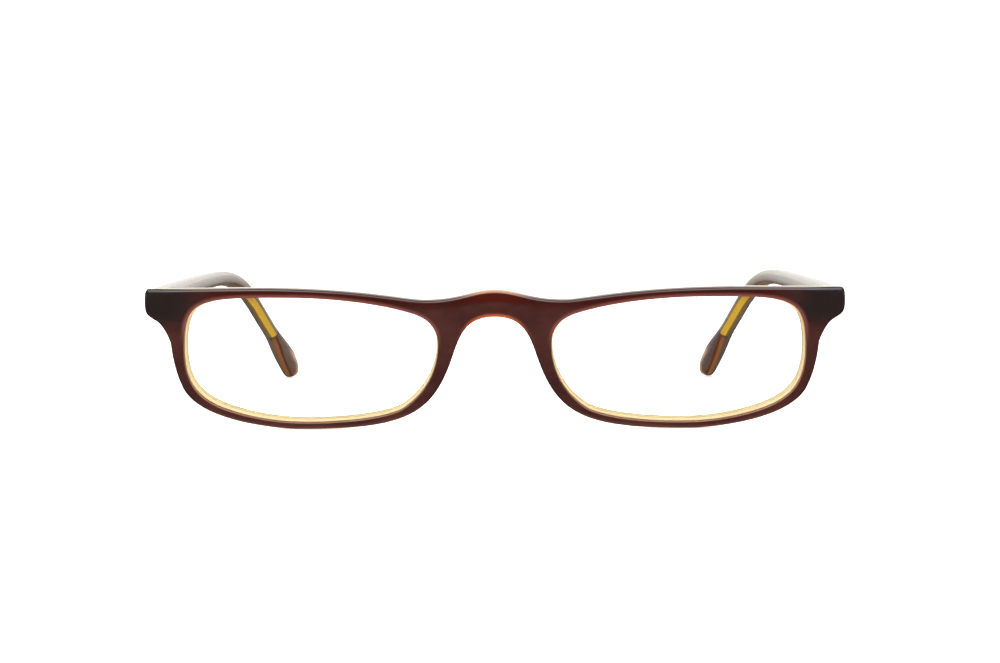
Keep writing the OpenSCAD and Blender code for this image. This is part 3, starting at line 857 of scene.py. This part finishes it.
def floor_sheet():
    """A lit white table that is shaded in reflections, darkest on the viewer's side."""
    f = Finish("studio_sheet")
    f.coloured(f.blended(f.noise(3, 2), (0.78, 0.78, 0.78), (0.82, 0.82, 0.82)))
    f.plain(Roughness=0.9, Emission_Strength=0.62, Emission_Color=WHITE)
    shaded = f.node("ShaderNodeEmission")
    place = f.node("ShaderNodeSeparateXYZ")
    f.join(f.node("ShaderNodeTexCoord").outputs["Object"], place.inputs[0])
    f.join(f.ranged(place.outputs["Y"], 0.05, 0.5, 0.08, 0.8), shaded.inputs["Strength"])
    *_, mirrored = f.bounces()
    f.either(mirrored, f.shader, shaded, f.output)
    return f.material


dark, honey, wire_gold = dark_acetate(), honey_acetate(), gilt()
outer_front.data.materials.append(dark)
inner_front.data.materials.append(honey)
clear, ground = clear_lens(), ground_edge()
for lens in lenses.values():
    lens.data.materials.append(clear)
    lens.data.materials.append(ground)
temple_dark = temple_acetate("temple_dark_acetate", (0.055, 0.038, 0.028), (0.080, 0.055, 0.039))
temple_grey = temple_acetate("temple_grey_acetate", (0.064, 0.034, 0.025), (0.090, 0.050, 0.034))
for outer, inner, wire in temples.values():
    outer.data.materials.append(temple_dark)
    inner.data.materials.append(temple_grey)
    wire.data.materials.append(wire_gold)
leaf_metal = steel("nickel_silver_leaf", (0.72, 0.69, 0.62), (0.64, 0.61, 0.55), 0.2, 0.34)
screw_metal = steel("steel_screw", (0.74, 0.74, 0.74), (0.66, 0.66, 0.67), 0.18, 0.3)


# ---- hinges, made about their own axis and then set in place ----
HINGE_U = INNER_FACE - AXIS_IN
HINGE_TURN = math.asin(HINGE_U / (WRAP_R - FRONT_T))
STACK_H = 5 * BARREL_H + 4 * BARREL_GAP
PITCH = BARREL_H + BARREL_GAP
WEB_L = WEB_SHARE * BARREL_R
TEMPLE_FOOT = TEMPLE_T - TEMPLE_OUTER_T - channel_depth - PLATE_FIT - PLATE_T
ON_ENDPIECE = (Matrix.Translation((0, SHIFT_Y, FRONT_Z))
               @ Matrix.Rotation(math.radians(TILT), 4, "X")
               @ Matrix.Translation((HINGE_U, float(bow(HINGE_U, FRONT_T)), HINGE_V))
               @ Matrix.Rotation(HINGE_TURN, 4, "Z"))
ON_AXIS = ON_ENDPIECE @ Matrix.Translation((0, AXIS_BACK, 0))
ON_TEMPLE = (Matrix.Translation((INNER_FACE, SHIFT_Y + START[1], TEMPLE_Z))
             @ Matrix.Rotation(math.atan(TOE), 4, "Z"))


def box_piece(name, low, high, place, ease_r=0.0):
    """A block between two corners in mm, its edges eased, set by a matrix in mm."""
    bm = bmesh.new()
    bmesh.ops.create_cube(bm, size=1)
    low, high = Vector(low), Vector(high)
    for vertex in bm.verts:
        vertex.co = (low + high) / 2 + vertex.co * (high - low)
    if ease_r:
        bmesh.ops.bevel(bm, geom=bm.edges[:], offset=ease_r, segments=3, profile=0.5,
                        affect="EDGES")
    bm.transform(place)
    points = [tuple(vertex.co) for vertex in bm.verts]
    faces = [[vertex.index for vertex in face.verts] for face in bm.faces]
    bm.free()
    return mesh_piece(name, points, faces)


def settled(piece):
    """Keeps the mesh that a piece's modifiers make, and drops the modifiers."""
    bpy.context.view_layer.update()
    made = piece.evaluated_get(bpy.context.evaluated_depsgraph_get())
    mesh = bpy.data.meshes.new_from_object(made)
    piece.modifiers.clear()
    piece.data = mesh
    return piece


def combined(piece, tool, operation):
    """Joins a second piece to the first, or cuts it out of it; the second is used up."""
    step = piece.modifiers.new("step", "BOOLEAN")
    step.operation, step.solver, step.object = operation, "MANIFOLD", tool
    settled(piece)
    bpy.data.objects.remove(tool)
    return piece


def for_the_right(mesh):
    """Mirrors a left-hand mesh, and keeps its faces pointing outwards."""
    mesh.transform(Matrix.Diagonal((-1, 1, 1, 1)))
    mesh.flip_normals()


def box_reach(angle, x0, x1, y0, y1):
    """Distance from the axis to the wall of a box at an angle."""
    c, s = math.cos(angle), math.sin(angle)
    along_x = (x1 if c > 0 else x0) / c if abs(c) > TINY else math.inf
    along_y = (y1 if s > 0 else y0) / s if abs(s) > TINY else math.inf
    return min(along_x, along_y)


def barrel_piece(name, x0, x1, y0, y1):
    """One bored barrel with the web, a box, that ties it to its plate."""
    corners = [math.atan2(y, x) % math.tau for x in (x0, x1) for y in (y0, y1)]
    angles = np.unique(np.round(
        np.concatenate([np.arange(BARREL_N) / BARREL_N * math.tau, corners]), 6))
    ring = np.stack([np.cos(angles), np.sin(angles)], 1)
    reach_out = np.array([max(BARREL_R, box_reach(a, x0, x1, y0, y1)) for a in angles])
    outline = ring * reach_out[:, None]
    eased = outline - BARREL_EASE * outward(outline)
    bore, h = SCREW_R + SCREW_FIT, BARREL_H / 2
    rows = [(ring * bore, BARREL_EASE - h), (ring * (bore + BARREL_EASE), -h), (eased, -h),
            (outline, BARREL_EASE - h), (outline, h - BARREL_EASE), (eased, h),
            (ring * (bore + BARREL_EASE), h), (ring * bore, h - BARREL_EASE)]
    points = np.vstack([np.column_stack([xy, np.full(len(xy), z)]) for xy, z in rows])
    return mesh_piece(name, points, bands(0, len(angles), len(rows), closed=True))


def barrel_stack():
    """A node tree that repeats a barrel up the hinge axis: Count of them, Spacing apart."""
    tree = bpy.data.node_groups.new("barrel_stack", "GeometryNodeTree")
    for label, way, kind in (("Barrel", "INPUT", "Geometry"), ("Count", "INPUT", "Int"),
                             ("Spacing", "INPUT", "Float"), ("Metal", "INPUT", "Material"),
                             ("Stack", "OUTPUT", "Geometry")):
        tree.interface.new_socket(label, in_out=way, socket_type=f"NodeSocket{kind}")
    w = Wiring(tree)
    given, made = w.node("NodeGroupInput"), w.node("NodeGroupOutput")
    height = w.maths("MULTIPLY", w.maths("SUBTRACT", given.outputs["Count"], 1),
                     given.outputs["Spacing"])
    start, offset = w.node("ShaderNodeCombineXYZ"), w.node("ShaderNodeCombineXYZ")
    line, copies = w.node("GeometryNodeMeshLine"), w.node("GeometryNodeInstanceOnPoints")
    real, finish = w.node("GeometryNodeRealizeInstances"), w.node("GeometryNodeSetMaterial")
    for source, socket in (
            (w.maths("MULTIPLY", height, -0.5), start.inputs["Z"]),
            (given.outputs["Spacing"], offset.inputs["Z"]),
            (given.outputs["Count"], line.inputs["Count"]),
            (start.outputs[0], line.inputs["Start Location"]),
            (offset.outputs[0], line.inputs["Offset"]),
            (line.outputs["Mesh"], copies.inputs["Points"]),
            (given.outputs["Barrel"], copies.inputs["Instance"]),
            (copies.outputs[0], real.inputs[0]),
            (real.outputs[0], finish.inputs["Geometry"]),
            (given.outputs["Metal"], finish.inputs["Material"]),
            (finish.outputs[0], made.inputs["Stack"])):
        w.join(source, socket)
    return tree


stack_tree = barrel_stack()


def stacked(piece, count, spacing):
    """The barrel repeated by the node tree; spacing in mm."""
    step = piece.modifiers.new("stack", "NODES")
    step.node_group = stack_tree
    keys = {item.name: item.identifier for item in stack_tree.interface.items_tree}
    step[keys["Count"]] = count
    step[keys["Spacing"]] = spacing * MM
    step[keys["Metal"]] = leaf_metal
    return settled(piece)


def lathed(name, profile):
    """A closed turned piece from (radius, height) rows in mm; its end rows are single points."""
    n = SCREW_N
    a = np.arange(n) / n * math.tau
    ring = np.stack([np.cos(a), np.sin(a)], 1)
    rows = [np.column_stack([ring * radius, np.full(n, z)]) for radius, z in profile[1:-1]]
    points = np.vstack(rows + [[[0, 0, profile[0][1]], [0, 0, profile[-1][1]]]])
    ends = len(rows) * n
    faces = bands(0, n, len(rows)) + fan(0, n, ends) + turned(fan(ends - n, n, ends + 1))
    return mesh_piece(name, points, faces, sharp=30)


def set_in_place(piece, side, finish):
    """Moves a finished hinge piece from its own axis to the left or the right hinge."""
    place = ON_AXIS.copy()
    place.translation *= MM
    piece.data.transform(place)
    if side < 0:
        for_the_right(piece.data)
    creased(piece.data, 30)
    piece.data.materials.clear()
    piece.data.materials.append(finish)
    return piece


def front_plate(grow, ease_r, place):
    """The front leaf's plate and the foot under it, as two blocks."""
    start, g = BARREL_R - FRONT_PLATE_L, grow
    return (box_piece("plate", (start - g, -PLATE_T - g, -STACK_H / 2 - g),
                      (BARREL_R + g, g, STACK_H / 2 + g), place, ease_r),
            box_piece("foot", (start + FOOT_IN - g, -PLATE_T - FOOT_T - g, -FOOT_H / 2 - g),
                      (start + FOOT_IN + FOOT_L + g, -PLATE_T / 2 + g, FOOT_H / 2 + g), place,
                      ease_r / 2))


def temple_plate(grow, ease_r, place):
    """The temple leaf's plate and its foot, as two blocks."""
    foot_y, g = PLATE_SET + PLATE_L - FOOT_L - FOOT_IN, grow
    return (box_piece("plate", (-g, PLATE_SET - g, -PLATE_H / 2 - g),
                      (PLATE_T + g, PLATE_SET + PLATE_L + g, PLATE_H / 2 + g), place, ease_r),
            box_piece("foot", (PLATE_T / 2, foot_y - g, -FOOT_H / 2 - g),
                      (PLATE_T + TEMPLE_FOOT + g, foot_y + FOOT_L + g, FOOT_H / 2 + g), place,
                      ease_r / 2))


def leaf(name, blocks, barrel, count, side):
    """A hinge leaf: its barrels repeated up the axis and joined to its plate and foot."""
    piece = stacked(barrel, count, 2 * PITCH)
    for block in blocks:
        block.data.materials.append(leaf_metal)
        combined(piece, block, "UNION")
    piece.name = piece.data.name = name
    return set_in_place(piece, side, leaf_metal)


def screw(name, side):
    """A turned screw whose head has a rounded rim and a slot."""
    half, top = STACK_H / 2, STACK_H / 2 + HEAD_H
    piece = lathed(name, [
        (0, -half), (SCREW_R - 0.1, -half), (SCREW_R, 0.1 - half), (SCREW_R, half - 0.02),
        (SCREW_R, half), (HEAD_R - 0.04, half), (HEAD_R, half + 0.04), (HEAD_R, top - 0.17),
        (HEAD_R - 0.05, top - 0.08), (HEAD_R - 0.17, top - 0.025), (HEAD_R - 0.4, top), (0, top)])
    slot = box_piece("slot", (-HEAD_R - PAST, -SLOT_W / 2, top - HEAD_H / 2),
                     (HEAD_R + PAST, SLOT_W / 2, top + PAST), Matrix.Identity(4))
    return set_in_place(combined(piece, slot, "DIFFERENCE"), side, screw_metal)


def cut_pocket(piece, blocks, side):
    """Lets a leaf's plate and foot into the piece that carries it."""
    for block in blocks:
        if side < 0:
            for_the_right(block.data)
        combined(piece, block, "DIFFERENCE")
    creased(piece.data, 38)


to_axis = ON_AXIS.inverted()
endpiece = Matrix.Translation((0, -AXIS_BACK, 0))
hinges = {}
for side, sign in SIDES.items():
    hinges[side] = (
        leaf(f"hinge_leaf_on_front_{side}", front_plate(0, PLATE_EDGE_R, endpiece),
             barrel_piece("barrel", -BARREL_R, BARREL_R, -AXIS_BACK - PLATE_T / 2, 0), 3, sign),
        leaf(f"hinge_leaf_on_temple_{side}",
             temple_plate(0, PLATE_EDGE_R, to_axis @ ON_TEMPLE),
             barrel_piece("barrel", 0, AXIS_IN + PLATE_T / 2, BARREL_R - WEB_L, BARREL_R), 2, sign),
        screw(f"slotted_screw_{side}", sign))
    cut_pocket(inner_front, front_plate(PLATE_FIT, 0, ON_ENDPIECE), sign)
    cut_pocket(temples[side][1], temple_plate(PLATE_FIT, 0, ON_TEMPLE), sign)
for pieces in temples.values():
    for piece in pieces:
        piece.data.flip_normals()


# ---- bodies ----
def fitted(piece, body, node):
    """Makes a piece ride on its body in place of its CAD node."""
    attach(piece, body)
    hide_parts(node)


fitted(outer_front, "front", "front_outer_layer")
fitted(inner_front, "front", "front_inner_layer")
for side, lens in lenses.items():
    fitted(lens, "front", f"lens_{side}")
for side, (outer, inner, wire) in temples.items():
    fitted(outer, f"temple_{side}", f"temple_outer_layer_{side}")
    fitted(inner, f"temple_{side}", f"temple_inner_layer_{side}")
    fitted(wire, f"temple_{side}", f"core_wire_{side}")
for side, (front_leaf, temple_leaf, hinge_screw) in hinges.items():
    fitted(front_leaf, "front", f"front_hinge_leaf_{side}")
    fitted(temple_leaf, f"temple_{side}", f"temple_hinge_leaf_{side}")
    fitted(hinge_screw, "front", f"hinge_screw_{side}")

# ---- floor, in metres ----
FLOOR_REACH, FLOOR_Z = 6.0, -0.0001
floor_mesh = bpy.data.meshes.new("floor")
floor_mesh.from_pydata([(x * FLOOR_REACH, y * FLOOR_REACH, FLOOR_Z)
                        for x, y in ((-1, -1), (1, -1), (1, 1), (-1, 1))], [], [(0, 1, 2, 3)])
floor = bpy.data.objects.new("floor", floor_mesh)
bpy.context.scene.collection.objects.link(floor)
floor.data.materials.append(floor_sheet())

# ---- light ----
BOX_TOWARDS = (0, -0.40, 0.92)       # the soft box, above the viewer
BOX_LIGHT, BOX_MIRRORED = 9.0, 0.75  # its strength, and the share that reflections lose
OVERHEAD_LIGHT, CORNER_LIGHT = 0.3, 3.0
WHITE_LIGHT = 1.1                    # what the camera sees behind the glasses


def studio():
    """A white tent with a soft box above the viewer. Seen directly or straight through glass
    it is evenly white. In reflections its walls are dark, but for a patch straight behind the
    glasses and a weaker box high at each side."""
    world = bpy.data.worlds.new("studio")
    world.use_nodes = True
    bpy.context.scene.world = world
    w = Wiring(world.node_tree)
    lit, output = w.tree.nodes["Background"], w.tree.nodes["World Output"]
    facing = w.node("ShaderNodeTexCoord").outputs["Generated"]
    parts = w.node("ShaderNodeSeparateXYZ")
    w.join(facing, parts.inputs[0])
    x, y, z = (parts.outputs[axis] for axis in "XYZ")
    ray, scattered, unscattered, mirrored = w.bounces()

    towards_box = w.node("ShaderNodeVectorMath", operation="DOT_PRODUCT")
    w.join(facing, towards_box.inputs[0])
    towards_box.inputs[1].default_value = BOX_TOWARDS
    box = w.ranged(towards_box.outputs["Value"], 0.88, 0.97, 0.0, BOX_LIGHT)
    over = w.ranged(z, 0.5, 0.95, 0.0, OVERHEAD_LIGHT)
    # The side boxes draw the light along the endpieces' upper corners.
    sideways = w.maths("MULTIPLY", w.maths("ABSOLUTE", x, 0.0), 0.55)
    upwards = w.maths("SUBTRACT", w.maths("MULTIPLY", z, 0.8), w.maths("MULTIPLY", y, 0.25))
    corner_box = w.ranged(w.maths("ADD", sideways, upwards), 0.80, 0.93, 0.0, CORNER_LIGHT)
    walls = w.ranged(y, -0.9, 0.1, 0.15, 0.9)
    mirrored_walls = w.ranged(y, 0.82, 0.955, 0.12, 1.0)

    box = w.maths("MULTIPLY", box,
                  w.maths("SUBTRACT", 1.0, w.maths("MULTIPLY", mirrored, BOX_MIRRORED)))
    walls = w.maths("ADD", w.maths("MULTIPLY", walls, w.maths("SUBTRACT", 1.0, mirrored)),
                    w.maths("MULTIPLY", w.maths("ADD", mirrored_walls, corner_box), mirrored))
    through_glass = ray.outputs["Is Transmission Ray"]
    # Shadow rays already bring matt surfaces the light that comes through the lenses.
    once = w.maths("SUBTRACT", 1.0, w.maths("MULTIPLY", through_glass, scattered))
    total = w.maths("MULTIPLY", w.maths("ADD", walls, w.maths("ADD", box, over)), once)
    w.join(total, lit.inputs["Strength"])
    seen = w.node("ShaderNodeBackground")
    seen.inputs["Strength"].default_value = WHITE_LIGHT
    for light in (lit, seen):
        light.inputs["Color"].default_value = WHITE
    direct = w.maths("MULTIPLY", through_glass, w.maths("SUBTRACT", unscattered, mirrored))
    w.either(w.maths("MAXIMUM", ray.outputs["Is Camera Ray"], direct), lit, seen, output)


studio()
bpy.context.scene.view_settings.view_transform = "Standard"

# ---- camera, in metres and degrees ----
VIEW_BACK, VIEW_HEIGHT, VIEW_RIGHT = 0.550, 0.05747, 0.0044
LOOK_DOWN, LOOK_LEFT, LEAN = 3.975, 0.3487, -0.22
camera_data = bpy.data.cameras.new("camera")
camera_data.lens, camera_data.sensor_width = 102.31, 36
camera_data.clip_start, camera_data.clip_end = 0.01, 50
camera = bpy.data.objects.new("camera", camera_data)
bpy.context.scene.collection.objects.link(camera)
camera.location = (VIEW_RIGHT, SHIFT_Y * MM - VIEW_BACK, VIEW_HEIGHT)
turn = Euler((math.radians(90 - LOOK_DOWN), 0, math.radians(LOOK_LEFT))).to_matrix()
camera.rotation_euler = (turn @ Matrix.Rotation(math.radians(LEAN), 3, "Z")).to_euler()
bpy.context.scene.camera = camera
